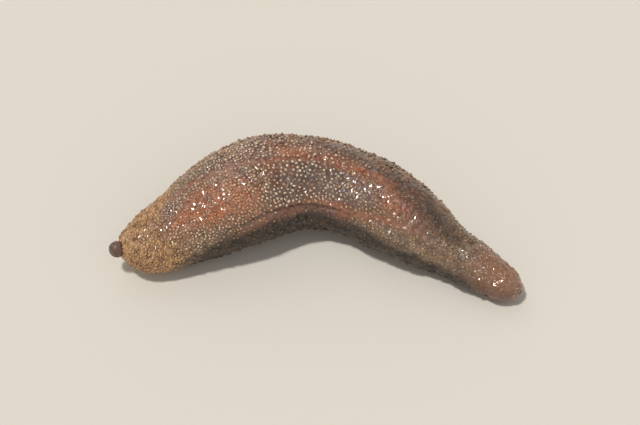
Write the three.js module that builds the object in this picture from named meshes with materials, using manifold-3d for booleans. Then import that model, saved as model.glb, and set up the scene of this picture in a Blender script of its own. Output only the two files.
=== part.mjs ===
// A sea cucumber at rest, life size: a soft, tapered body that arches sideways, a puckered
// mouth knob at its lifted head end, a round tail with a beaded vent, low papillae over its
// back and flanks, and tube feet along both edges of its flat sole.
// Millimetres, +Z up. The head points to -X and the arch bulges to +Y. The origin is on the
// floor, under the middle of the body.
import * as THREE from "three";
import { mergeVertices } from "three/addons/utils/BufferGeometryUtils.js";
import Module from "manifold-3d";

// Driving dimensions, in millimetres and degrees.
const bodyLength = 153; // along the middle line, from the mouth's root to the round tail end
const headHeading = 28; // direction of the straight head, from +X towards +Y
const tailHeading = -34; // direction of the straight tail
const archStart = 45; // the middle line bends between these two distances
const archEnd = 104;
const lineStart = { x: -68.82, y: -17.7 }; // plan place of the middle line's start
const girth = [
  // half the body's width, at distances along the middle line
  { along: 5.6, half: 3.1 },
  { along: 9, half: 7.3 },
  { along: 16, half: 10.8 },
  { along: 28, half: 13.8 },
  { along: 42, half: 17.1 },
  { along: 56, half: 18.2 },
  { along: 72, half: 16.8 },
  { along: 88, half: 15.2 },
  { along: 104, half: 14.6 },
  { along: 116, half: 12.6 },
  { along: 126, half: 9.6 },
  { along: 136, half: 8.5 },
  { along: 146, half: 6.8 },
];
const heightPerHalfWidth = 1.66; // full height of the resting body
const widestLevel = 0.46; // the level of the greatest width, as a share of the height
const bellyBulge = 1.12; // the underside's bulge before the floor flattens it to a sole
const tailRound = 7.5; // length of the rounding at the tail
const mouthHeight = 10; // the head's tip is lifted this far off the floor
const liftEnd = 18; // distance along the middle line where the lift ends
const cutGap = 0.3; // gap between neighbouring lengths of the body
const aroundFacets = 36; // facets round the body
const ringStep = 2.8; // distance between rings of facets

const crease = { from: 38, to: 84, angle: 153, halfSpread: 9, depth: 1.5 }; // fold inside the arch

const papilla = { radius: 1.2, height: 0.95, spacing: 6.1, sides: 5, jitter: 0.2, variation: 0.2 };
const papillaeFrom = 8; // the nose and the round tail end are bare
const papillaeTo = 146;
const backEdgeAngle = -28; // papillae grow from here, over the back, to the same level opposite
const smoothBandHalf = 2.4; // half the width of the two smooth bands that carry no papillae
const smoothBands = [
  // each band's angle round the body, at distances along it
  [
    { along: 30, angle: 70 },
    { along: 50, angle: 88 },
    { along: 66, angle: 94 },
    { along: 85, angle: 89 },
    { along: 116, angle: 63 },
  ],
  [
    { along: 34, angle: 162 },
    { along: 48, angle: 155 },
    { along: 85, angle: 152 },
    { along: 105, angle: 133 },
    { along: 120, angle: 119 },
  ],
];

const foot = { radius: 0.85, flare: 1.25, height: 2.6, spacing: 5.4, sides: 6, sideShare: 0.5 };
const feetFrom = 24; // tube feet stand between these distances along the body
const feetTo = 140;

const knob = { radius: 2.75, length: 3.2, folds: 9, foldDepth: 0.22, dimple: 0.6, facets: 27 };
const knobHeight = 11.7; // the knob's middle above the floor
const knobSideways = 1.5; // the knob's offset towards the arch's outer side
const vent = { radius: 3.3, length: 1.5, dimple: 0.9, facets: 20 };
const ventBeads = { count: 10, radius: 0.72, ringRadius: 2.25, rise: 0.84 }; // round the vent

const lengths = [
  // the body's lengths from head to tail: each ends where the next one starts
  { name: "head", from: 5.6, to: 22, colour: "#9a7957", roughness: 0.62 },
  { name: "front_trunk", from: 22, to: 50, colour: "#8b6149", roughness: 0.45 },
  { name: "middle_trunk", from: 50, to: 78, colour: "#7d5f53", roughness: 0.42 },
  { name: "rear_trunk", from: 78, to: 106, colour: "#7a5a4c", roughness: 0.42 },
  { name: "tail_neck", from: 106, to: 130, colour: "#665547", roughness: 0.42 },
  { name: "tail", from: 130, to: 151.8, colour: "#82604a", roughness: 0.4 },
];

const { degToRad, radToDeg, clamp, smoothstep, lerp } = THREE.MathUtils;
const up = new THREE.Vector3(0, 0, 1);

// The middle line in plan, worked out once in short steps.
const lineStep = 0.5;
const headingAt = (along) =>
  degToRad(lerp(headHeading, tailHeading, smoothstep(along, archStart, archEnd)));
const line = [new THREE.Vector2(lineStart.x, lineStart.y)];
for (let i = 0; i * lineStep < bodyLength; i++) {
  const heading = headingAt((i + 0.5) * lineStep);
  const step = new THREE.Vector2(Math.cos(heading), Math.sin(heading)).multiplyScalar(lineStep);
  line.push(line[i].clone().add(step));
}

function planPoint(along) {
  const i = clamp(Math.floor(along / lineStep), 0, line.length - 2);
  return line[i].clone().lerp(line[i + 1], along / lineStep - i);
}

// Half the body's width: a smooth curve through the girth values, then the tail's rounding.
function halfWidth(along) {
  const s = clamp(along, girth[0].along, girth.at(-1).along);
  const i = Math.max(1, girth.findIndex((g) => g.along >= s));
  const slope = (k) => {
    const before = girth[Math.max(k - 1, 0)];
    const after = girth[Math.min(k + 1, girth.length - 1)];
    return (after.half - before.half) / (after.along - before.along);
  };
  const [a, b] = [girth[i - 1], girth[i]];
  const span = b.along - a.along;
  const t = (s - a.along) / span;
  const along0 = (1 + 2 * t) * (1 - t) ** 2 * a.half + t * (1 - t) ** 2 * span * slope(i - 1);
  const along1 = t * t * (3 - 2 * t) * b.half + t * t * (t - 1) * span * slope(i);
  return along0 + along1;
}

function tailShare(along) {
  const past = Math.max(0, along - (bodyLength - tailRound)) / tailRound;
  return Math.sqrt(Math.max(0, 1 - past * past));
}

// The centre of the body's section, at the level where it is widest.
function sectionCentre(along) {
  const level = widestLevel * heightPerHalfWidth * halfWidth(along);
  const lift = 1 - smoothstep(along, girth[0].along, liftEnd);
  const { x, y } = planPoint(along);
  return new THREE.Vector3(x, y, lerp(level, Math.max(level, mouthHeight), lift));
}

const sideways = (along) =>
  new THREE.Vector3(-Math.sin(headingAt(along)), Math.cos(headingAt(along)), 0);

// A point of the skin: angle 0 is the arch's outer side, 90 the back, 180 the inner side.
function skinPoint(along, angle) {
  const share = tailShare(along);
  const half = halfWidth(along);
  const height = heightPerHalfWidth * half;
  const [cos, sin] = [Math.cos(degToRad(angle)), Math.sin(degToRad(angle))];
  const rise = sin > 0 ? 1 - widestLevel : widestLevel * bellyBulge;
  const run = clamp((along - crease.from) / (crease.to - crease.from), 0, 1);
  const across = (angle - crease.angle) / crease.halfSpread;
  const fold = crease.depth * Math.sin(Math.PI * run) * Math.exp(-across * across);
  const inward = 1 - fold / half;
  const p = sectionCentre(along)
    .addScaledVector(sideways(along), share * half * cos * inward)
    .addScaledVector(up, share * height * rise * sin * inward);
  p.z = Math.max(0, p.z);
  return p;
}

function skinNormal(along, angle) {
  const ahead = skinPoint(along + 0.5, angle).sub(skinPoint(along - 0.5, angle));
  const round = skinPoint(along, angle + 2).sub(skinPoint(along, angle - 2));
  return ahead.cross(round).normalize();
}

const wasm = await Module();
wasm.setup();

function solidOf(geometry) {
  geometry.deleteAttribute("normal");
  geometry.deleteAttribute("uv");
  const merged = mergeVertices(geometry, 1e-4);
  const vertProperties = new Float32Array(merged.attributes.position.array);
  const triVerts = new Uint32Array(merged.index.array);
  return new wasm.Manifold(new wasm.Mesh({ numProp: 3, vertProperties, triVerts }));
}

// Only the largest closed surface is kept.
function largest(solid) {
  return solid.decompose().reduce((a, b) => (b.volume() > a.volume() ? b : a));
}

function meshOf(solid, name, colour, roughness) {
  const { vertProperties, triVerts } = largest(solid).getMesh();
  const geometry = new THREE.BufferGeometry()
    .setAttribute("position", new THREE.BufferAttribute(vertProperties, 3))
    .setIndex(new THREE.BufferAttribute(triVerts, 1));
  const material = new THREE.MeshStandardMaterial({ color: colour, roughness, metalness: 0 });
  const mesh = new THREE.Mesh(geometry, material);
  mesh.name = name;
  return mesh;
}

// One length of the body: a capped cylinder whose points are carried onto the skin.
function bodyLengthSolid(from, to) {
  const rings = Math.ceil((to - from) / ringStep);
  const geometry = new THREE.CylinderGeometry(1, 1, 1, aroundFacets, rings);
  const at = geometry.attributes.position;
  for (let i = 0; i < at.count; i++) {
    const along = lerp(from, to, at.getY(i) + 0.5);
    const angle = radToDeg(Math.atan2(-at.getZ(i), at.getX(i)));
    const share = Math.hypot(at.getX(i), at.getZ(i));
    const p = sectionCentre(along).lerp(skinPoint(along, angle < -90 ? angle + 360 : angle), share);
    at.setXYZ(i, p.x, p.y, p.z);
  }
  return solidOf(geometry);
}

// A profile of radius and forward distance, turned about the body's own direction.
function turnedSolid(profile, facets, centre, forward, shape = () => 1) {
  const geometry = new THREE.LatheGeometry(profile, facets);
  const at = geometry.attributes.position;
  const turn = new THREE.Quaternion().setFromUnitVectors(new THREE.Vector3(0, 1, 0), forward);
  for (let i = 0; i < at.count; i++) {
    const p = new THREE.Vector3().fromBufferAttribute(at, i);
    const share = shape(Math.atan2(p.z, p.x), p.y);
    p.set(p.x * share, p.y, p.z * share).applyQuaternion(turn).add(centre);
    at.setXYZ(i, p.x, p.y, p.z);
  }
  return solidOf(geometry);
}

const forwardAt = (along) =>
  new THREE.Vector3(Math.cos(headingAt(along)), Math.sin(headingAt(along)), 0);

// The mouth: a ball with a flat back on the head, radial folds and a dimple in front.
function mouthKnob() {
  const profile = new THREE.SplineCurve([
    new THREE.Vector2(0.8 * knob.radius, 0),
    new THREE.Vector2(knob.radius, 0.38 * knob.length),
    new THREE.Vector2(0.78 * knob.radius, 0.8 * knob.length),
    new THREE.Vector2(0.4 * knob.radius, knob.length),
  ]).getPoints(7);
  profile.unshift(new THREE.Vector2(0, 0));
  profile.push(new THREE.Vector2(0, knob.length - knob.dimple));
  const forward = forwardAt(0).negate();
  const centre = sectionCentre(lengths[0].from)
    .addScaledVector(forward, cutGap)
    .addScaledVector(sideways(0), knobSideways);
  centre.z = knobHeight;
  const pleat = (round, ahead) =>
    1 - (knob.foldDepth * (ahead / knob.length) * (1 + Math.cos(knob.folds * round))) / 2;
  return turnedSolid(profile, knob.facets, centre, forward, pleat);
}

// The vent: a low disc that closes the tail, with a dimple and a ring of beads.
function ventDisc() {
  const profile = [
    new THREE.Vector2(0, 0),
    new THREE.Vector2(vent.radius, 0),
    new THREE.Vector2(0.86 * vent.radius, 0.6 * vent.length),
    new THREE.Vector2(0.5 * vent.radius, vent.length),
    new THREE.Vector2(0, vent.length - vent.dimple),
  ];
  const end = lengths.at(-1).to + cutGap;
  const forward = forwardAt(end);
  const side = sideways(end);
  const centre = sectionCentre(end);
  let solid = turnedSolid(profile, vent.facets, centre, forward);
  for (let i = 0; i < ventBeads.count; i++) {
    const angle = (2 * Math.PI * i) / ventBeads.count;
    const bead = new THREE.SphereGeometry(ventBeads.radius, 7, 5);
    const at = centre
      .clone()
      .addScaledVector(forward, ventBeads.rise)
      .addScaledVector(side, ventBeads.ringRadius * Math.cos(angle))
      .addScaledVector(up, ventBeads.ringRadius * Math.sin(angle));
    bead.translate(at.x, at.y, at.z);
    solid = solid.add(solidOf(bead));
  }
  return solid;
}

// Draws between 0 and 1 from a fixed seed, so that the part is the same each time.
let seed = 20117;
function draw() {
  seed = (Math.imul(seed, 1664525) + 1013904223) >>> 0;
  return seed / 2 ** 32;
}
const spread = (most) => most * (2 * draw() - 1);

function angleOnBand(band, along) {
  const s = clamp(along, band[0].along, band.at(-1).along);
  const i = Math.max(1, band.findIndex((b) => b.along >= s));
  const [a, b] = [band[i - 1], band[i]];
  return lerp(a.angle, b.angle, (s - a.along) / (b.along - a.along));
}

function onSmoothBand(along, angle) {
  return smoothBands.some((band) => {
    if (along < band[0].along || along > band.at(-1).along) return false;
    const off = degToRad(angle - angleOnBand(band, along)) * halfWidth(along);
    return Math.abs(off) < smoothBandHalf;
  });
}

// A papilla: a low dome that stands along the skin's normal, with its lower half sunk in.
function papillaSolid(along, angle) {
  const size = 1 + spread(papilla.variation);
  const dome = new THREE.SphereGeometry(1, papilla.sides, 3);
  dome.scale(papilla.radius * size, papilla.height * size, papilla.radius * size);
  const turn = new THREE.Quaternion().setFromUnitVectors(
    new THREE.Vector3(0, 1, 0),
    skinNormal(along, angle),
  );
  const at = skinPoint(along, angle);
  dome.applyQuaternion(turn).translate(at.x, at.y, at.z);
  return solidOf(dome);
}

// Rows of papillae round one length, staggered from row to row and clear of its two cuts.
function papillaeOn(from, to) {
  const rows = Math.round((to - from) / papilla.spacing);
  const rowStep = (to - from) / rows;
  const found = [];
  for (let row = 0; row < rows; row++) {
    const middle = from + (row + 0.5) * rowStep;
    const angleStep = radToDeg(papilla.spacing / (halfWidth(middle) * tailShare(middle)));
    const last = 180 - backEdgeAngle;
    for (let a = backEdgeAngle + (row % 2) * 0.5 * angleStep; a < last; a += angleStep) {
      const along = middle + spread(papilla.jitter * rowStep);
      const angle = a + spread(papilla.jitter * angleStep);
      const bare = along < papillaeFrom || along > papillaeTo || onSmoothBand(along, angle);
      if (!bare) found.push(papillaSolid(along, angle));
    }
  }
  return found;
}

// Tube feet: short flared cylinders from the sole's two edges down to the floor.
function feetOn(from, to) {
  const pairs = Math.round((to - from) / foot.spacing);
  const found = [];
  for (let pair = 0; pair < pairs; pair++) {
    for (const edge of [-1, 1]) {
      const along = lerp(from, to, (pair + 0.5 + spread(papilla.jitter)) / pairs);
      if (along < feetFrom || along > feetTo) continue;
      const at = sectionCentre(along).addScaledVector(
        sideways(along),
        edge * foot.sideShare * halfWidth(along),
      );
      const { radius, flare, height, sides } = foot;
      const stub = new THREE.CylinderGeometry(radius, radius * flare, height, sides);
      stub.rotateX(Math.PI / 2).translate(at.x, at.y, height / 2);
      found.push(solidOf(stub));
    }
  }
  return found;
}

const group = new THREE.Group();
group.add(meshOf(mouthKnob(), "mouth_knob", "#674d42", 0.5));
for (const { name, from, to, colour, roughness } of lengths) {
  const body = bodyLengthSolid(from + (name === "head" ? 0 : cutGap / 2), to - cutGap / 2);
  const forms = [...papillaeOn(from, to), ...feetOn(from, to)];
  const solid = forms.reduce((whole, form) => whole.add(form), body);
  group.add(meshOf(solid, name, colour, roughness));
}
group.add(meshOf(ventDisc(), "vent_disc", "#6f4c3c", 0.45));

export default group;
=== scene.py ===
import math

import bmesh
import bpy
import numpy as np
from mathutils import Matrix, Vector, noise


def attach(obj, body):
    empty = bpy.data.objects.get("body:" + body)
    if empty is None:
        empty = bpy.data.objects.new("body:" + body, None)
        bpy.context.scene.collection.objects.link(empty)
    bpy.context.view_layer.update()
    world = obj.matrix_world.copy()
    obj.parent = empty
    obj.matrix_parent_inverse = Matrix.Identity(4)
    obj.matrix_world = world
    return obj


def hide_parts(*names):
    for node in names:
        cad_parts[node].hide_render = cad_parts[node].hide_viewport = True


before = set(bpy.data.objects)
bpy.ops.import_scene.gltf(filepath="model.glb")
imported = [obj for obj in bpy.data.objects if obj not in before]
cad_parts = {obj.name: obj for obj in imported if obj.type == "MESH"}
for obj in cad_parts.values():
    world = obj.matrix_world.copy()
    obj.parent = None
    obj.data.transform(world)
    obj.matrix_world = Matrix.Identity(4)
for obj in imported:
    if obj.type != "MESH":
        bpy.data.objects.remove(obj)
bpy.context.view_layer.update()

# A sea cucumber lying on a pale floor. Sizes are in millimetres and become metres when a mesh
# is written. "along" is a distance on the body's middle line from the mouth, and "angle" goes
# round the body: 0 is the arch's outer side, 90 the back and 180 the inner side.
mm = 0.001
rng = np.random.default_rng(4127)

body = {
    "length": 153.0,
    "headHeading": 28.0,
    "tailHeading": -34.0,
    "arch": (45.0, 104.0),  # the middle line bends between these
    "lineStart": (-68.82, -17.7),
    "girth": [(5.6, 3.1), (9, 7.3), (16, 10.8), (28, 13.8), (42, 17.1), (56, 18.2), (72, 16.8),
              (88, 15.2), (104, 14.6), (116, 12.6), (126, 9.6), (136, 8.5), (146, 6.8)],
    "heightPerHalfWidth": 1.66,
    "widestLevel": 0.46,
    "bellyBulge": 1.12,  # the floor flattens this much of a bulge to the sole
    "mouthHeight": 10.0,
    "liftEnd": 18.0,
    "noseStart": 5.1,
    "noseRound": 2.6,
    "tailRound": 7.5,
}


def smoothStep(value, low, high):
    t = np.clip((value - low) / (high - low), 0, 1)
    return t * t * (3 - 2 * t)


def headingAt(along):
    turn = smoothStep(along, *body["arch"])
    return np.radians(body["headHeading"] + (body["tailHeading"] - body["headHeading"]) * turn)


lineStep = 0.5
lineAlong = np.arange(0, body["length"] + 2, lineStep)
lineHeading = headingAt(lineAlong[:-1] + lineStep / 2)
lineX = body["lineStart"][0] + np.append(0, np.cumsum(lineStep * np.cos(lineHeading)))
lineY = body["lineStart"][1] + np.append(0, np.cumsum(lineStep * np.sin(lineHeading)))

girthAlong, girthHalf = np.array(body["girth"], float).T
girthSlope = np.array([
    (girthHalf[min(i + 1, len(girthHalf) - 1)] - girthHalf[max(i - 1, 0)])
    / (girthAlong[min(i + 1, len(girthHalf) - 1)] - girthAlong[max(i - 1, 0)])
    for i in range(len(girthHalf))
])


def halfWidth(along):
    s = np.clip(along, girthAlong[0], girthAlong[-1])
    i = np.clip(np.searchsorted(girthAlong, s), 1, len(girthAlong) - 1)
    span = girthAlong[i] - girthAlong[i - 1]
    t = (s - girthAlong[i - 1]) / span
    before = (1 + 2 * t) * (1 - t) ** 2 * girthHalf[i - 1] + t * (1 - t) ** 2 * span * girthSlope[i - 1]
    after = t * t * (3 - 2 * t) * girthHalf[i] + t * t * (t - 1) * span * girthSlope[i]
    return before + after


def endShare(along):  # 1 along the body, rounding to 0 at the nose and at the tail
    nose = np.clip((body["noseStart"] + body["noseRound"] - along) / body["noseRound"], 0, 1)
    tail = np.clip((along - body["length"] + body["tailRound"]) / body["tailRound"], 0, 1)
    return np.sqrt(np.clip(1 - nose ** 2, 0, 1)) * np.sqrt(np.clip(1 - tail ** 2, 0, 1))


def sectionCentre(along):
    level = body["widestLevel"] * body["heightPerHalfWidth"] * halfWidth(along)
    lift = 1 - smoothStep(along, girthAlong[0], body["liftEnd"])
    height = level + (np.maximum(level, body["mouthHeight"]) - level) * lift
    x = np.interp(along, lineAlong, lineX)
    y = np.interp(along, lineAlong, lineY)
    return np.stack([x, y, height], -1)


def sideways(along):
    heading = headingAt(along)
    return np.stack([-np.sin(heading), np.cos(heading), 0 * heading], -1)


def straightPoints(along, angle):  # the body as if unbent, where the noises are read
    turn = np.radians(angle)
    return np.stack([along, halfWidth(along) * np.cos(turn), halfWidth(along) * np.sin(turn)], -1)


def noiseOf(points, scale, shift=0.0):
    return np.array([noise.noise(p) for p in (points * np.array(scale) + shift).tolist()])


# The markings and folds that the skin and everything on it share.
smoothBands = [  # red-brown bands with few papillae: places as (along, angle)
    {
        "path": [(24, 66), (34, 73), (50, 88), (66, 94), (85, 89), (99, 82), (116, 64)],
        "halfWide": 1.15,
    },
    {
        "path": [(42, 160), (52, 158), (75, 157), (92, 152), (105, 136), (122, 121)],
        "halfWide": 1.8,
    },
]
redPatches = [  # (along, angle, reach along, reach round, strength)
    (67, 82, 8, 2.8, 1.0), (107, 108, 6, 3.2, 0.9), (117, 104, 5, 2.5, 0.5), (30, 112, 8, 3.4, 0.8),
    (44, 118, 8, 3.0, 0.7), (37, 128, 6, 2.4, 0.7), (57, 152, 9, 2.2, 0.6), (90, 84, 9, 1.8, 0.7),
    (48, 134, 7, 2.4, 0.6), (34, 96, 7, 2.0, 0.6), (46, 104, 8, 1.8, 0.5), (98, 88, 8, 2.0, 0.5),
    (78, 148, 12, 1.8, 0.6), (88, 146, 9, 2.0, 0.6), (36, 116, 15, 9, 0.4),
]
greyPatches = [  # the purple-grey fields, in the same terms
    (69, 128, 11, 5.5, 1.0), (84, 128, 10, 4.5, 0.9), (54, 108, 7, 2.5, 0.6), (31, 84, 9, 5, 0.7),
    (22, 92, 6, 5, 0.6), (44, 98, 8, 3, 0.5), (97, 118, 9, 4, 0.8), (76, 112, 14, 3.5, 0.7),
    (27, 124, 5, 3, 0.6), (40, 112, 5, 2, 0.7), (58, 74, 8, 3, 0.6), (80, 70, 12, 4, 0.6),
]
shadePatches = [  # painted shade on shoulders and in hollows
    (117, 92, 8, 6, 0.5), (108, 74, 14, 4, 0.5), (126, 84, 7, 4, 0.45), (84, 62, 16, 3, 0.45),
    (60, 112, 3, 1.4, 0.4), (72, 118, 4, 1.5, 0.4), (90, 104, 4, 1.6, 0.4), (34, 102, 4, 1.5, 0.35),
]
crease = {
    "from": 34.0,
    "to": 98.0,
    "angle": 150.0,
    "waver": 0.7,  # how far it wanders to each side
    "reach": 4.2,  # how far down the side the step fades out
    "depth": 2.0,
    "lineAt": 0.35,  # the painted shade line in it
    "lineWide": 0.8,
    "lineShade": 0.8,
}
regions = {  # pairs are the start and the end of a soft change: "along" in mm, "angle" in degrees
    "ridge": (98, 17),  # the top line's angle and spread
    "farAngle": (40, 86),
    "nearAngle": (112, 134),
    "headAlong": (12, 27),
    "oliveRear": (108, 126),
    "oliveFarFront": (30, 58),
    "oliveNearRear": (90, 104),
    "oliveNearFront": (32, 50),
    "tailAlong": (130, 144),
    "flankStart": (16, 30),
    "flankFade": (134, 150),
    "farUnder": (-34, 8),
    "flankEdge": [(10, 190), (26, 166), (45, 162), (85, 161), (98, 164), (125, 158), (140, 160)],
    "edgeSoft": 9,  # the flank's edge fades over this many degrees to each side
    "tailEdgeSoft": 16,
    # the tail's underside, where painted shade is added
    "tailUnder": (118, 168),
    "tailUnderAlong": (122, 138),
}
folding = {  # heights of the skin's noises, in mm
    "sink": -0.42,
    "lumps": 0.4,
    "folds": 0.45,
    "knobbly": 0.42,
    "rings": 0.12,
    "headWrinkles": 0.3,
    "bandSink": 0.25,
}


def pathOffset(band, along, angle):
    path = np.array(band["path"], float)
    return np.radians(angle - np.interp(along, path[:, 0], path[:, 1])) * halfWidth(along)


def patchSum(patches, along, angle):
    total = 0 * along
    for centre, round_, reachAlong, reachRound, strength in patches:
        off = np.radians(angle - round_) * halfWidth(along)
        away = ((along - centre) / reachAlong) ** 2 + (off / reachRound) ** 2
        total = total + strength * np.exp(-away)
    return np.clip(total, 0, 1)


def creaseOffset(along, angle):  # the distance below the crease, in mm
    offset = np.radians(angle - crease["angle"]) * halfWidth(along)
    return offset + crease["waver"] * noiseOf(straightPoints(along, angle), 0.12, 9)


def creaseRun(along):
    run = np.clip((along - crease["from"]) / (crease["to"] - crease["from"]), 0, 1)
    return np.clip(np.sin(np.pi * run), 0, 1) ** 0.7


def markings(along, angle):
    straight = straightPoints(along, angle)  # two sizes of noise make every edge ragged
    wander = 1.6 * noiseOf(straight, 0.11) + 0.9 * noiseOf(straight, 0.35, 40)
    ragged = wander + 1.1 * noiseOf(straight, 0.8, 15)
    band = 0 * along
    for one in smoothBands:
        first = one["path"][0][0]
        last = one["path"][-1][0]
        starts = smoothStep(along, first - 4, first + 8)
        ends = smoothStep(along, last - 8, last + 4)
        off = (pathOffset(one, along, angle) + wander) / one["halfWide"]
        band = np.maximum(band, starts * (1 - ends) * np.exp(-off ** 2))
    stir = along + 3 * ragged
    turned = angle + 3.5 * ragged
    topLine, spread = regions["ridge"]
    ridge = np.exp(-((angle - topLine) / spread) ** 2)
    far = 1 - smoothStep(angle + 4 * ragged, *regions["farAngle"])
    near = smoothStep(angle + 4 * ragged, *regions["nearAngle"])
    head = 1 - smoothStep(stir + 5 * ridge - 4 * near - 14 * far, *regions["headAlong"])
    olive = smoothStep(stir, *regions["oliveRear"]) + far * (1 - smoothStep(stir, *regions["oliveFarFront"]))
    nearOlive = smoothStep(stir, *regions["oliveNearRear"]) + 1 - smoothStep(stir, *regions["oliveNearFront"])
    olive = np.clip(olive + 0.8 * near * nearOlive, 0, 1)
    tail = smoothStep(along + 2.5 * ragged, *regions["tailAlong"])
    # The flank mark darkens the near flank and the far underside, partly for their darker skin and partly as
    # painted shade; the crease line, the shade patches and the tail's underside add more painted shade to it.
    edgeAlong, edgeAngle = np.array(regions["flankEdge"], float).T
    edge = np.interp(along, edgeAlong, edgeAngle)
    soft = regions["edgeSoft"] + regions["tailEdgeSoft"] * smoothStep(along, 112, 140)
    inner = smoothStep(angle + 3 * wander, edge - soft, edge + soft)
    outer = smoothStep(-angle + 3 * wander, *regions["farUnder"])
    flankAndShade = np.maximum(inner, 0.75 * outer) * smoothStep(along + 2 * ragged, *regions["flankStart"])
    flankAndShade = flankAndShade * (1 - 0.55 * smoothStep(along, *regions["flankFade"]))
    # Painted shade: a dark line along the crease, under its ledge.
    line = np.exp(-((creaseOffset(along, angle) - crease["lineAt"]) / crease["lineWide"]) ** 2)
    flankAndShade = np.maximum(flankAndShade, crease["lineShade"] * creaseRun(along) * line)
    flankAndShade = np.maximum(flankAndShade, patchSum(shadePatches, stir, turned))
    # Painted shade on the tail's underside, added to the flank mark.
    under = smoothStep(angle + 4 * wander, *regions["tailUnder"])
    flankAndShade = np.maximum(flankAndShade, 0.5 * under * smoothStep(along, *regions["tailUnderAlong"]))
    return {
        "band": band,
        "head": head,
        "olive": olive,
        "tail": tail,
        "flankAndShade": flankAndShade,
        "red": patchSum(redPatches, stir, turned),
        "grey": patchSum(greyPatches, stir, turned),
    }


def reliefOf(along, angle, marks):  # how far the skin stands out of the plain body, in mm
    straight = straightPoints(along, angle)
    across = creaseOffset(along, angle)
    ledge = smoothStep(across, -0.4, 0.5) * np.exp(-np.maximum(across, 0) / crease["reach"])
    arc = np.radians(angle - 90) * halfWidth(along)
    slanted = np.stack([0.3 * (along - arc), 0.9 * (along + arc), 0 * along], -1)
    rings = noiseOf(straight, (0.7, 0.16, 0.16), 70)
    lumps = noiseOf(straight, (0.09, 0.14, 0.14), 20)
    folds = noiseOf(straight, (0.07, 0.32, 0.32), 33)
    knobbly = noiseOf(straight, 0.5, 55) + 0.8 * noiseOf(straight, 0.85, 62)
    relief = folding["sink"] + folding["lumps"] * lumps + folding["folds"] * folds
    relief = relief + folding["knobbly"] * knobbly + folding["rings"] * rings * (1 + 2 * marks["flankAndShade"])
    relief = relief + folding["headWrinkles"] * noiseOf(slanted, 1.0, 90) * marks["head"]
    relief = relief - folding["bandSink"] * marks["band"] - crease["depth"] * creaseRun(along) * ledge
    return relief * endShare(along)


def skinPoints(along, angle, relief=0.0):
    share = endShare(along)
    half = halfWidth(along)
    turn = np.radians(angle)
    upper = 1 - body["widestLevel"]
    lower = body["widestLevel"] * body["bellyBulge"]
    rise = np.where(np.sin(turn) > 0, upper, lower)
    out = 1 + relief / half
    side = (share * half * np.cos(turn) * out)[:, None] * sideways(along)
    points = sectionCentre(along) + side
    points[:, 2] += share * body["heightPerHalfWidth"] * half * rise * np.sin(turn) * out
    points[:, 2] = np.maximum(points[:, 2], 0)
    return points


def skinFrames(along, angle):  # directions along the body, down its outer side and out of it
    ahead = skinPoints(along + 0.4, angle) - skinPoints(along - 0.4, angle)
    round_ = skinPoints(along, angle + 1.5) - skinPoints(along, angle - 1.5)
    ahead = ahead / np.linalg.norm(ahead, axis=1)[:, None]
    out = np.cross(round_, ahead)
    out = out / np.linalg.norm(out, axis=1)[:, None]
    return ahead, np.cross(out, ahead), out


# Shader maths as plain expressions.
class Wire:
    def __init__(self, graph, socket):
        self.graph = graph
        self.socket = socket

    def maths(self, operation, first, second=0.0):
        return self.graph.node("ShaderNodeMath", {"operation": operation}, {0: first, 1: second})

    def __add__(self, other):
        return self.maths("ADD", self, other)

    def __sub__(self, other):
        return self.maths("SUBTRACT", self, other)

    def __rsub__(self, other):
        return self.maths("SUBTRACT", other, self)

    def __mul__(self, other):
        return self.maths("MULTIPLY", self, other)

    __radd__ = __add__
    __rmul__ = __mul__


class Graph:
    def __init__(self, name):
        self.material = bpy.data.materials.new(name)
        self.material.use_nodes = True
        self.tree = self.material.node_tree
        self.tree.nodes.clear()

    def node(self, kind, settings=None, sockets=None, output=0):
        made = self.tree.nodes.new(kind)
        for key, value in (settings or {}).items():
            setattr(made, key, value)
        for key, value in (sockets or {}).items():
            if isinstance(value, Wire):
                self.tree.links.new(value.socket, made.inputs[key])
            else:
                made.inputs[key].default_value = value
        return Wire(self, made.outputs[output])

    def attribute(self, name):
        return self.node("ShaderNodeAttribute", {"attribute_name": name}, output="Fac")

    def place(self):
        return self.node("ShaderNodeTexCoord", output="Object")

    def noise(self, perMetre, detail=3.0, roughness=0.55):
        sockets = {"Vector": self.place(), "Scale": perMetre, "Detail": detail, "Roughness": roughness}
        return self.node("ShaderNodeTexNoise", None, sockets)

    def cells(self, perMetre):
        return self.node("ShaderNodeTexVoronoi", {"feature": "F1"},
                         {"Vector": self.place(), "Scale": perMetre}, "Distance")

    def ramp(self, value, low, high, start=0.0, end=1.0):
        return self.node("ShaderNodeMapRange", {"interpolation_type": "SMOOTHSTEP"},
                         {0: value, 1: low, 2: high, 3: start, 4: end})

    def blend(self, share, first, second, way="MIX"):
        return self.node("ShaderNodeMix", {"data_type": "RGBA", "blend_type": way},
                         {0: share, 6: first, 7: second}, 2)

    def finish(self, colour, roughness, bump=None, bumpDepth=0.0002, bumpStrength=0.5, **fixed):
        sockets = {"Base Color": colour, "Roughness": roughness}
        sockets.update({key.replace("_", " "): value for key, value in fixed.items()})
        if bump is not None:
            sockets["Normal"] = self.node("ShaderNodeBump", None,
                                          {"Strength": bumpStrength, "Distance": bumpDepth, "Height": bump})
        shader = self.node("ShaderNodeBsdfPrincipled", None, sockets)
        end = self.tree.nodes.new("ShaderNodeOutputMaterial")
        self.tree.links.new(shader.socket, end.inputs[0])
        return self.material


def paint(red, green, blue):  # a screen colour, 0 to 255, as the shader's linear one
    screen = np.array([red, green, blue]) / 255
    linear = np.where(screen <= 0.04, screen / 12.92, ((screen + 0.055) / 1.055) ** 2.4)
    return (*linear.tolist(), 1.0)


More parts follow.
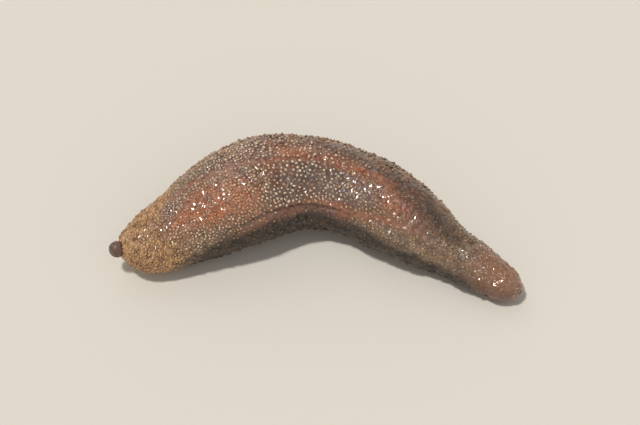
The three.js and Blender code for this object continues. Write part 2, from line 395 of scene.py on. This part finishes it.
skinPaint = {
    "brown": paint(122, 80, 57),
    "darkBrown": paint(84, 54, 40),
    "greyPurple": paint(98, 74, 68),
    "bandRed": paint(138, 82, 54),
    "orangeRed": paint(166, 92, 50),
    "olive": paint(134, 106, 76),
    "oliveDark": paint(80, 62, 45),
    "headTan": paint(180, 138, 94),
    "headBrown": paint(122, 80, 48),
    "tailRose": paint(136, 88, 62),
    # the flank colours: partly the darker underside skin, partly painted shade
    "flankAndShade": paint(27, 20, 16),
    "flankAndShadeMottle": paint(68, 55, 42),
    "cream": paint(244, 220, 186),
    "yolk": paint(216, 174, 120),
    "tan": paint(220, 178, 124),
    # painted shade round each wart's root
    "rim": paint(54, 36, 30),
}


def skinMaterial():  # a wart's "tip" is 0 at its root and 1 at its top, and 0 on the skin itself
    g = Graph("wetSkin")
    broad = g.ramp(g.noise(130, 3), 0.4, 0.6)
    mottle = g.ramp(g.noise(520, 4), 0.36, 0.62)
    grain = g.noise(1700, 3, 0.6)
    head = g.attribute("head")
    colour = g.blend(broad, skinPaint["brown"], skinPaint["darkBrown"])
    share = g.attribute("grey") * g.ramp(mottle, 0.0, 1.0, 0.4, 0.9)
    colour = g.blend(share, colour, skinPaint["greyPurple"])
    olive = g.blend(mottle, skinPaint["oliveDark"], skinPaint["olive"])
    colour = g.blend(g.attribute("olive") * 0.85, colour, olive)
    colour = g.blend(g.attribute("band") * 0.8, colour, skinPaint["bandRed"])
    share = g.attribute("red") * g.ramp(mottle, 0.0, 1.0, 0.35, 0.95)
    colour = g.blend(share, colour, skinPaint["orangeRed"])
    tan = g.blend(g.ramp(g.noise(500, 4), 0.38, 0.6), skinPaint["headBrown"], skinPaint["headTan"])
    colour = g.blend(head * 0.95, colour, tan)
    share = g.attribute("tail") * g.ramp(mottle, 0.0, 1.0, 0.95, 0.6)
    colour = g.blend(share, colour, skinPaint["tailRose"])
    # Painted shade: the flank mark darkens the near flank, the underside, the crease line, hollows and the
    # vent's dimple, along with the darker skin there.
    flankAndShadeMix = g.blend(g.ramp(g.noise(420, 4), 0.46, 0.64), skinPaint["flankAndShade"], skinPaint["flankAndShadeMottle"])
    colour = g.blend(g.attribute("flankAndShade") * 0.92, colour, flankAndShadeMix)
    shade = g.ramp(grain, 0.3, 0.7, 0.72, 1.22)
    shade = g.node("ShaderNodeCombineColor", None, {0: shade, 1: shade, 2: shade})
    colour = g.blend(1.0, colour, shade, "MULTIPLY")
    tip = g.attribute("tip")
    # Painted shade: a dark ring where each wart meets the skin.
    rootShade = g.ramp(tip, 0.0, 0.2) * (1 - g.ramp(tip, 0.25, 0.45)) * 0.4
    colour = g.blend(rootShade, colour, skinPaint["rim"])
    cap = g.blend(g.ramp(g.attribute("pale"), 0.45, 0.85), skinPaint["yolk"], skinPaint["cream"])
    cap = g.blend(head, cap, skinPaint["tan"])
    colour = g.blend(g.ramp(tip, 0.34, 0.66) * g.attribute("pale"), colour, cap)
    dry = 1 - (1 - head * 0.7) * (1 - g.attribute("flankAndShade") * 0.9)
    roughness = g.ramp(grain, 0.3, 0.7, 0.14, 0.3) + dry * 0.34
    coat = (1 - dry) * g.ramp(g.noise(120, 2), 0.36, 0.56, 0.45, 1.0)
    bump = g.noise(2600, 3, 0.6) * 0.3 + g.cells(1300) * 0.5 + g.noise(650, 2) * 1.1
    return g.finish(colour, roughness, bump, 0.0005, 0.6, Coat_Weight=coat, Coat_Roughness=0.05,
                    Coat_IOR=1.7, Specular_IOR_Level=0.6)


def setAttribute(mesh, name, values):
    layer = mesh.attributes.new(name, "FLOAT", "POINT")
    layer.data.foreach_set("value", np.asarray(values, np.float32))


def addPiece(name, mesh, material, replaced=()):
    mesh.materials.append(material)
    mesh.polygons.foreach_set("use_smooth", [True] * len(mesh.polygons))
    piece = bpy.data.objects.new(name, mesh)
    bpy.context.scene.collection.objects.link(piece)
    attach(piece, "root")
    if replaced:
        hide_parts(*replaced)
    return piece


# The whole skin, nose to tail, in one piece.
skin = {"around": 192, "rings": 466, "evenShare": 0.8}


def makeSkin(material):
    bm = bmesh.new()
    bmesh.ops.create_uvsphere(bm, u_segments=skin["around"], v_segments=skin["rings"], radius=1)
    mesh = bpy.data.meshes.new("skin")
    bm.to_mesh(mesh)
    bm.free()
    co = np.empty(len(mesh.vertices) * 3)
    mesh.vertices.foreach_get("co", co)
    co = co.reshape(-1, 3)
    polar = np.arccos(np.clip(co[:, 2], -1, 1)) / math.pi
    share = skin["evenShare"] * polar + (1 - skin["evenShare"]) * (1 - np.cos(math.pi * polar)) / 2
    along = body["noseStart"] + (body["length"] - body["noseStart"]) * share
    angle = np.degrees(np.arctan2(-co[:, 1], co[:, 0]))
    angle = np.where(angle < -90, angle + 360, angle)
    marks = markings(along, angle)
    points = skinPoints(along, angle, reliefOf(along, angle, marks))
    mesh.vertices.foreach_set("co", (points * mm).ravel())
    for name, values in marks.items():
        setAttribute(mesh, name, values)
    bm = bmesh.new()
    bm.from_mesh(mesh)
    bmesh.ops.recalc_face_normals(bm, faces=bm.faces[:])
    bm.to_mesh(mesh)
    bm.free()
    flesh = ["head", "front_trunk", "middle_trunk", "rear_trunk", "tail_neck", "tail"]
    return addPiece("skin", mesh, material, flesh)


# The papillae: thousands of low warts with cream tips. Each row of "sizes" is a place along the
# body, the distance between neighbours, the base radius and how pale the tip is.
papillae = {
    "tries": 215000,
    "between": (5.6, 150),
    "bareBelow": [(8, 165), (22, 132), (140, 132), (150, 150)],  # (along, degrees from the back)
    "closer": 0.97,  # a share of the wanted distance that is near enough
    "cell": 1.2,  # the sorting grid's cell
    "sides": 9,
    "bell": [(0, 1), (0.17, 0.95), (0.34, 0.78), (0.51, 0.46), (0.7, 0.15), (1, -0.14)],
    "sizes": [
        (5, 0.78, 0.5, 0.66), (16, 0.8, 0.5, 0.66), (25, 0.92, 0.58, 0.78), (50, 1.0, 0.63, 0.86),
        (64, 1.24, 0.7, 0.92), (78, 1.26, 0.69, 0.86), (96, 1.2, 0.6, 0.66), (114, 1.06, 0.54, 0.52),
        (134, 1.1, 0.5, 0.44), (150, 1.7, 0.46, 0.44),
    ],
    "patch": 0.003,  # the width of each one's patch on the baking map
    "groups": {"papillae_head": (0, 26), "papillae_front": (26, 50), "papillae_middle": (50, 78),
               "papillae_rear": (78, 106), "papillae_tail": (106, 153)},
}


def sizeRow(along, column):
    rows = np.array(papillae["sizes"])
    return np.interp(along, rows[:, 0], rows[:, column])


def scatterPapillae():
    along = rng.uniform(*papillae["between"], papillae["tries"])
    angle = rng.uniform(-80, 260, papillae["tries"])
    wanted = halfWidth(along) * endShare(along) / girthHalf.max()
    soleAlong, soleAngle = np.array(papillae["bareBelow"], float).T
    bareSole = np.abs(angle - 90) > np.interp(along, soleAlong, soleAngle)
    chosen = (rng.uniform(0, 1, papillae["tries"]) < wanted) & ~bareSole
    along = along[chosen]
    angle = angle[chosen]
    marks = markings(along, angle)
    apart = sizeRow(along, 1) * rng.uniform(0.9, 1.25, len(along))
    apart = apart + 0.45 * marks["flankAndShade"] + 1.5 * marks["band"] ** 1.5
    points = skinPoints(along, angle)
    cell = papillae["cell"]
    grid = {}
    kept = []
    for i, point in enumerate(points):
        home = tuple((point // cell).astype(int))
        reach = int(apart[i] // cell) + 1
        span = range(-reach, reach + 1)
        near = [k for a in span for b in span for c in span
                for k in grid.get((home[0] + a, home[1] + b, home[2] + c), ())]
        clear = papillae["closer"] * apart[i]
        if not near or np.sum((points[near] - point) ** 2, 1).min() > clear ** 2:
            grid.setdefault(home, []).append(i)
            kept.append(i)
    kept = np.array(kept)
    return along[kept], angle[kept], {name: values[kept] for name, values in marks.items()}


def wartTemplate():  # a bell with an open foot, as its points and faces
    bm = bmesh.new()
    verts = [bm.verts.new((r, 0, z)) for r, z in papillae["bell"]]
    edges = [bm.edges.new(pair) for pair in zip(verts, verts[1:])]
    bmesh.ops.spin(bm, geom=verts + edges, cent=(0, 0, 0), axis=(0, 0, 1), steps=papillae["sides"],
                   angle=2 * math.pi, use_merge=True)
    bmesh.ops.remove_doubles(bm, verts=bm.verts[:], dist=1e-4)
    bmesh.ops.recalc_face_normals(bm, faces=bm.faces[:])
    if sum(f.normal.z for f in bm.faces) < 0:
        bmesh.ops.reverse_faces(bm, faces=bm.faces[:])
    bm.verts.index_update()
    points = np.array([v.co[:] for v in bm.verts])
    faces = [[v.index for v in f.verts] for f in bm.faces]
    bm.free()
    return points, faces


def makePapillae(material):
    along, angle, marks = scatterPapillae()
    print("papillae:", len(along))
    roots = skinPoints(along, angle, reliefOf(along, angle, marks))
    ahead, across, out = skinFrames(along, angle)
    count = len(along)
    out = out + 0.12 * rng.normal(size=(count, 3))
    slant = np.radians(45 + 18 * rng.normal(size=count)) * marks["head"]
    slant = slant + rng.uniform(-1, 1, count) * (1 - marks["head"])
    length = np.cos(slant)[:, None] * ahead + np.sin(slant)[:, None] * across
    width = np.cos(slant)[:, None] * across - np.sin(slant)[:, None] * ahead
    size = sizeRow(along, 2) * (1 - 0.28 * marks["flankAndShade"]) * rng.uniform(0.68, 1.28, count)
    height = size * rng.uniform(0.5, 0.8, count) * (1 - 0.25 * marks["tail"])
    stretch = 1 + rng.uniform(0.1, 0.8, count) * marks["head"] + rng.uniform(-0.05, 0.3, count)
    pale = sizeRow(along, 3) * (1 - 0.55 * rng.uniform(0, 1, count) ** 1.7)
    # Painted shade: the tips are dimmed where the flank mark darkens the skin.
    pale = pale * (1 - 0.6 * marks["flankAndShade"]) * (1 - 0.3 * marks["red"])
    pale = pale * (0.6 + 0.4 * smoothStep(angle, 25, 75))  # painted shade, duller down the far side
    points, faces = wartTemplate()
    radius = np.linalg.norm(points[:, :2], axis=1)
    uvAlong = along / body["length"]
    uvRound = (angle + 90) / 360
    for name, (first, last) in papillae["groups"].items():
        i = np.flatnonzero((along >= first) & (along < last))
        places = (
            roots[i][:, None, :]
            + (size[i] * stretch[i])[:, None, None] * points[None, :, :1] * length[i][:, None, :]
            + size[i][:, None, None] * points[None, :, 1:2] * width[i][:, None, :]
            + height[i][:, None, None] * points[None, :, 2:] * out[i][:, None, :]
        )
        places[..., 2] = np.maximum(places[..., 2], 0.02)
        allFaces = [[v + k * len(points) for v in face] for k in range(len(i)) for face in faces]
        mesh = bpy.data.meshes.new(name)
        mesh.from_pydata((places.reshape(-1, 3) * mm).tolist(), [], allFaces)
        for mark, values in marks.items():
            setAttribute(mesh, mark, np.repeat(values[i], len(points)))
        setAttribute(mesh, "tip", np.tile(1 - radius, len(i)))
        setAttribute(mesh, "pale", np.repeat(pale[i], len(points)))
        flat = np.stack([
            uvAlong[i][:, None] + papillae["patch"] / 2 * points[None, :, 0],
            uvRound[i][:, None] - papillae["patch"] / 2 * points[None, :, 1],
        ], -1).reshape(-1, 2)
        loops = np.empty(len(mesh.loops), int)
        mesh.loops.foreach_get("vertex_index", loops)
        mesh.uv_layers.new(name="OFBake").data.foreach_set("uv", flat[loops].ravel())
        addPiece(name, mesh, material)


# The mouth knob: a puckered ball with a dimple.
knob = {
    "radius": 2.75,
    "front": 2.2,  # where its front lies, along the middle line
    "root": 7.2,  # its back, inside the head
    "neck": 1.4,
    "ballArc": (-50, 79.6),
    "ballSteps": 19,
    "height": 11.4,
    "sideways": 1.4,
    "folds": 17,
    "foldDepth": 0.12,
    "dimple": 0.5,
    "around": 136,
}


def turnedMesh(name, profile, steps, forward):  # a profile of (radius, distance) points, spun
    bm = bmesh.new()
    verts = [bm.verts.new((r, 0, z)) for r, z in profile]
    edges = [bm.edges.new(pair) for pair in zip(verts, verts[1:])]
    bmesh.ops.spin(bm, geom=verts + edges, cent=(0, 0, 0), axis=(0, 0, 1), steps=steps,
                   angle=2 * math.pi, use_merge=True)
    bmesh.ops.remove_doubles(bm, verts=bm.verts[:], dist=1e-4)
    bmesh.ops.recalc_face_normals(bm, faces=bm.faces[:])
    mesh = bpy.data.meshes.new(name)
    bm.to_mesh(mesh)
    bm.free()
    local = np.empty(len(mesh.vertices) * 3)
    mesh.vertices.foreach_get("co", local)
    local = local.reshape(-1, 3)
    turn = Vector((0, 0, 1)).rotation_difference(Vector(forward)).to_matrix()
    return mesh, local, np.array(turn)


def knobMaterial():
    g = Graph("knobSkin")
    pleat = g.attribute("pleat")
    colour = g.blend(g.ramp(g.noise(900, 3), 0.35, 0.65), paint(112, 78, 64), paint(78, 52, 46))
    # Painted shade: the pleats' grooves are painted darker.
    colour = g.blend(g.ramp(pleat, 0.2, 1.0) * 0.7, colour, paint(46, 30, 27))
    # Painted sheen: a pale purple-grey highlight on the ball's front.
    colour = g.blend(g.attribute("front") * 0.5, colour, paint(96, 82, 92))
    bump = g.noise(2600, 3) + g.cells(1500)
    return g.finish(colour, 0.42, bump, 0.0003, 0.5, Coat_Weight=0.5, Coat_Roughness=0.2)


def makeKnob():
    length = knob["root"] - knob["front"]
    forward = -np.array([math.cos(headingAt(0.0)), math.sin(headingAt(0.0)), 0])
    centre = sectionCentre(np.array([knob["root"]]))[0]
    centre = centre + knob["sideways"] * sideways(np.array([0.0]))[0]
    centre[2] = knob["height"]
    outline = [(0, 0), (knob["neck"], 0)]
    ball = length - knob["radius"]
    for turn in np.radians(np.linspace(*knob["ballArc"], knob["ballSteps"])):
        outline.append((knob["radius"] * math.cos(turn), ball + knob["radius"] * math.sin(turn)))
    outline += [(0.3, length - 0.08), (0.16, length - 0.3), (0, length - knob["dimple"])]
    mesh, local, turn = turnedMesh("mouthKnob", outline, knob["around"], forward)
    around = np.arctan2(local[:, 1], local[:, 0])
    radius = np.linalg.norm(local[:, :2], axis=1)
    frontness = smoothStep(local[:, 2], 0.35 * length, length)
    wavy = around + 0.10 * noiseOf(local, 0.8)
    pleat = np.abs(np.sin(wavy * knob["folds"] / 2)) ** 0.6
    pleat = (1 - pleat) * (0.25 + 0.75 * frontness) * smoothStep(radius, 0.0, 0.8)
    rough = noiseOf(local, 1.6, 3)
    shrink = 1 - knob["foldDepth"] * pleat + 0.03 * rough
    local = local * np.stack([shrink, shrink, 0 * shrink + 1], -1)
    mesh.vertices.foreach_set("co", ((local @ turn.T + centre) * mm).ravel())
    setAttribute(mesh, "pleat", pleat)
    # the "front" mark sets where the painted sheen goes
    setAttribute(mesh, "front", smoothStep(local[:, 2], 0.75 * length, length))
    return addPiece("mouthKnob", mesh, knobMaterial(), ["mouth_knob"])


# The vent: a puckered disc in the round end of the tail, ringed by beads.
vent = {
    "radius": 3.2,
    "root": 151.4,
    "length": 2.1,
    "rim": [
        (3.15, 0.5), (2.9, 1.1), (2.4, 1.65), (1.8, 2.0), (1.3, 2.1), (0.9, 1.95), (0.6, 1.6), (0.4, 1.2),
    ],
    "dimple": 1.3,
    "folds": 10,
    "around": 120,
    "beads": 11,
    "beadRing": 2.75,
    "beadForward": 1.05,
    "beadSize": 0.55,
}


def makeVent(material):
    forward = np.array([math.cos(headingAt(150.0)), math.sin(headingAt(150.0)), 0])
    centre = sectionCentre(np.array([vent["root"]]))[0]
    length = vent["length"]
    outline = [(0, 0), (vent["radius"], 0)] + vent["rim"] + [(0, length - vent["dimple"])]
    mesh, local, turn = turnedMesh("ventDisc", outline, vent["around"], forward)
    around = np.arctan2(local[:, 1], local[:, 0])
    radius = np.linalg.norm(local[:, :2], axis=1)
    pleat = 0.5 + 0.5 * np.cos(vent["folds"] * around + 0.6 * noiseOf(local, 0.7))
    shrink = 1 - 0.10 * pleat * smoothStep(local[:, 2], 0.8, length) * smoothStep(radius, 0.1, 0.8)
    local = local * np.stack([shrink, shrink, 0 * shrink + 1], -1)
    mesh.vertices.foreach_set("co", ((local @ turn.T + centre) * mm).ravel())
    setAttribute(mesh, "tail", 0 * radius + 0.9)
    setAttribute(mesh, "olive", 0 * radius + 1)
    # Painted shade: the flank mark darkens the vent's dimple.
    setAttribute(mesh, "flankAndShade", 0.1 + 0.8 * (1 - smoothStep(radius, 0.3, 1.4)))
    return addPiece("ventDisc", mesh, material, ["vent_disc"])


def makeBeads(material):
    points, faces = wartTemplate()
    forward = np.array([math.cos(headingAt(150.0)), math.sin(headingAt(150.0)), 0])
    side = sideways(np.array([150.0]))[0]
    up = np.array([0, 0, 1.0])
    centre = sectionCentre(np.array([vent["root"]]))[0]
    places = []
    allFaces = []
    for bead in range(vent["beads"]):
        turn = 2 * math.pi * (bead + 0.25 * rng.uniform(-1, 1)) / vent["beads"]
        radial = math.cos(turn) * side + math.sin(turn) * up
        root = centre + vent["beadRing"] * radial + vent["beadForward"] * forward
        out = 0.75 * radial + 0.66 * forward
        across = np.cross(out, forward)
        across = across / np.linalg.norm(across)
        size = vent["beadSize"] * rng.uniform(0.8, 1.15)
        local = points @ np.array([across, np.cross(out, across), out]) * size
        allFaces += [[v + len(places) * len(points) for v in face] for face in faces]
        places.append(root + local)
    mesh = bpy.data.meshes.new("ventBeads")
    mesh.from_pydata((np.concatenate(places) * mm).tolist(), [], allFaces)
    radius = np.linalg.norm(points[:, :2], axis=1)
    setAttribute(mesh, "tail", np.ones(len(mesh.vertices)))
    setAttribute(mesh, "tip", np.tile(1 - radius, vent["beads"]))
    setAttribute(mesh, "pale", np.full(len(mesh.vertices), 0.55))
    return addPiece("ventBeads", mesh, material)


# Tube feet, in two crowded rows along each edge of the sole.
feet = {
    "from": 20.0,
    "to": 144.0,
    "spacing": 2.3,
    "firstRow": 0.42,  # a share of the half width
    "rowStep": 0.13,
    "radius": 0.62,
    "padThick": 0.35,
    "sides": 10,
}


def footMaterial():
    g = Graph("footSkin")
    colour = g.blend(g.ramp(g.noise(900, 3), 0.35, 0.65), paint(150, 116, 88), paint(110, 80, 60))
    return g.finish(colour, 0.4, g.noise(3000, 2), 0.0002, 0.4, Coat_Weight=0.4, Coat_Roughness=0.2)


def makeFeet():
    bm = bmesh.new()
    for side, row in [(-1, 0), (-1, 1), (1, 0), (1, 1)]:
        along = feet["from"] + (0.5 * row) * feet["spacing"]
        while along < feet["to"]:
            place = np.array([along + rng.uniform(-0.5, 0.5)])
            share = feet["firstRow"] + feet["rowStep"] * row + rng.uniform(-0.02, 0.02)
            offset = side * share * float(halfWidth(place)[0])
            centre = sectionCentre(place)[0] + offset * sideways(place)[0]
            under = float(centre[2] * (1 - body["bellyBulge"] * math.sqrt(1 - share ** 2)))
            tall = max(1.0, under + 0.9)
            radius = feet["radius"] * rng.uniform(0.8, 1.15) * (0.7 if place[0] > 125 else 1)
            bmesh.ops.create_cone(bm, cap_ends=True, segments=feet["sides"], radius1=radius * 1.3,
                                  radius2=radius * 0.85, depth=feet["padThick"],
                                  matrix=Matrix.Translation((centre[0], centre[1], feet["padThick"] / 2)))
            bmesh.ops.create_cone(bm, cap_ends=True, segments=feet["sides"], radius1=radius * 0.8,
                                  radius2=radius * 1.05, depth=tall,
                                  matrix=Matrix.Translation((centre[0], centre[1], 0.1 + tall / 2)))
            along += feet["spacing"]
    bmesh.ops.scale(bm, vec=(mm, mm, mm), verts=bm.verts[:])
    mesh = bpy.data.meshes.new("tubeFeet")
    bm.to_mesh(mesh)
    bm.free()
    return addPiece("tubeFeet", mesh, footMaterial())


# Floor, lights and camera.
floorBowl = {  # in metres
    "flat": 1.1,
    "bend": 0.45,
    "bendSteps": 12,
    "wall": 0.5,
    "level": -0.00004,
    "sides": 96,
    "floorColour": paint(212, 208, 201),
    "backColour": paint(217, 209, 197),
}


def makeFloor():  # a pale floor that curves up into a backdrop on all sides
    flat = floorBowl["flat"]
    bend = floorBowl["bend"]
    outline = [(0, 0), (flat, 0)]
    for step in range(floorBowl["bendSteps"]):
        turn = math.pi / 2 * (step + 1) / floorBowl["bendSteps"]
        outline.append((flat + bend * math.sin(turn), bend * (1 - math.cos(turn))))
    outline.append((flat + bend, bend + floorBowl["wall"]))
    bm = bmesh.new()
    verts = [bm.verts.new((r, 0, z + floorBowl["level"])) for r, z in outline]
    edges = [bm.edges.new(pair) for pair in zip(verts, verts[1:])]
    bmesh.ops.spin(bm, geom=verts + edges, cent=(0, 0, 0), axis=(0, 0, 1), steps=floorBowl["sides"],
                   angle=2 * math.pi, use_merge=True)
    bmesh.ops.remove_doubles(bm, verts=bm.verts[:], dist=1e-5)
    bmesh.ops.recalc_face_normals(bm, faces=bm.faces[:])
    if bm.faces[0].normal.z < 0:
        bmesh.ops.reverse_faces(bm, faces=bm.faces[:])
    mesh = bpy.data.meshes.new("floor")
    bm.to_mesh(mesh)
    bm.free()
    mesh.materials.append(Graph("paleFloor").finish(floorBowl["floorColour"], 0.85))
    backdrop = Graph("backdrop").finish(paint(0, 0, 0), 1.0, Specular_IOR_Level=0.0, Emission_Strength=1.0,
                                        Emission_Color=floorBowl["backColour"])
    mesh.materials.append(backdrop)
    for face in mesh.polygons:
        face.use_smooth = True
        face.material_index = int(face.center.xy.length > flat)
    floor = bpy.data.objects.new("floor", mesh)
    bpy.context.scene.collection.objects.link(floor)


lights = {  # where each shines from, how wide it looks in degrees, how bright it is and its colour
    "key": ((-0.29, -0.08, 1.0), 6, 2.1, (1.0, 0.96, 0.9)),
    "far": ((-0.4, 0.8, 0.9), 50, 0.38, (1.0, 0.98, 0.95)),
    "fill": ((0.5, -0.8, 0.9), 70, 0.3, (0.96, 0.98, 1.0)),
}
room = {"colour": (1.0, 0.98, 0.95, 1), "strength": 0.25}


def makeLights():
    for name, (place, wide, strength, colour) in lights.items():
        data = bpy.data.lights.new(name, "SUN")
        data.energy = strength
        data.angle = math.radians(wide)
        data.color = colour
        light = bpy.data.objects.new(name, data)
        light.rotation_mode = "QUATERNION"
        light.rotation_quaternion = Vector(place).to_track_quat("Z", "Y")
        bpy.context.scene.collection.objects.link(light)
    world = bpy.data.worlds.new("studio")
    world.use_nodes = True
    world.node_tree.nodes["Background"].inputs[0].default_value = room["colour"]
    world.node_tree.nodes["Background"].inputs[1].default_value = room["strength"]
    bpy.context.scene.world = world
    bpy.context.scene.view_settings.view_transform = "Standard"


camera = {
    "target": (0.00138, 0.0015, 0.010),
    "distance": 0.6,
    "elevation": 55.0,
    "lens": 101.25,
    "sensor": 36,
}


def makeCamera():
    data = bpy.data.cameras.new("camera")
    data.lens = camera["lens"]
    data.sensor_width = camera["sensor"]
    data.clip_start = 0.01
    eye = bpy.data.objects.new("camera", data)
    tilt = math.radians(camera["elevation"])
    back = Vector((0, -math.cos(tilt), math.sin(tilt)))
    eye.location = Vector(camera["target"]) + camera["distance"] * back
    eye.rotation_mode = "QUATERNION"
    eye.rotation_quaternion = (-back).to_track_quat("-Z", "Y")
    bpy.context.scene.collection.objects.link(eye)
    bpy.context.scene.camera = eye


makeCamera()
makeLights()
makeFloor()
print("stage ready")
wetSkin = skinMaterial()
makeSkin(wetSkin)
print("skin ready")
makePapillae(wetSkin)
makeKnob()
makeVent(wetSkin)
makeBeads(wetSkin)
makeFeet()
print("all pieces ready")
